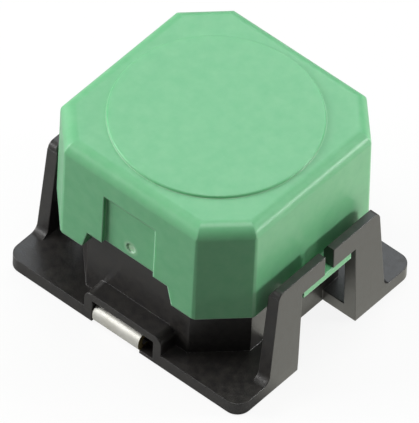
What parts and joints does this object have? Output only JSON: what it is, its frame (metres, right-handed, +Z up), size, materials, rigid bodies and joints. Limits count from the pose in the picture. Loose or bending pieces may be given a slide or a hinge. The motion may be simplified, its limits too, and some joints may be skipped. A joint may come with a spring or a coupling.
{
  "type": "tactile push button switch",
  "caption": "Surface-mounted tactile push button switch: a large square cap with chamfered corners slides between guide posts on a flanged base with flat solder terminals.",
  "frame": {"origin": "on the circuit board's surface, under the centre of the cap", "axes": "+Z up along the cap's travel; X from side to side through the guide posts; the terminals come out on the -Y and +Y sides"},
  "size_m": [0.012, 0.0104, 0.0088],
  "materials": {
    "black_plastic": "satin black moulded plastic",
    "green_plastic": "satin mid green moulded plastic",
    "natural_plastic": "natural uncoloured plastic",
    "plated_strip": "silver plated brass strip, slightly tarnished",
    "spring_steel": "bright stainless spring steel"
  },
  "bodies": {
    "base": {"switch_housing": "black_plastic", "front_terminal": "plated_strip", "back_terminal": "plated_strip", "contact_dome": "spring_steel", "guide_cover": "black_plastic"},
    "cap": {"button_cap": "green_plastic", "return_spring": "spring_steel"},
    "actuator": {"actuator": "natural_plastic"}
  },
  "joints": [
    {"name": "cap_travel", "type": "slide", "parent": "base", "child": "cap", "axis": [0, 0, 1], "range_m": [-0.0026, 0], "stiffness_N_per_m": 300, "springref_m": 0.0007, "deforming": ["return_spring"]},
    {"name": "actuator_travel", "type": "slide", "parent": "base", "child": "actuator", "axis": [0, 0, 1], "range_m": [-0.00022, 0], "deforming": ["contact_dome"]}
  ],
  "couplings": [
    {"joint": "actuator_travel", "follows": "cap_travel", "ratio": 0.0846}
  ]
}
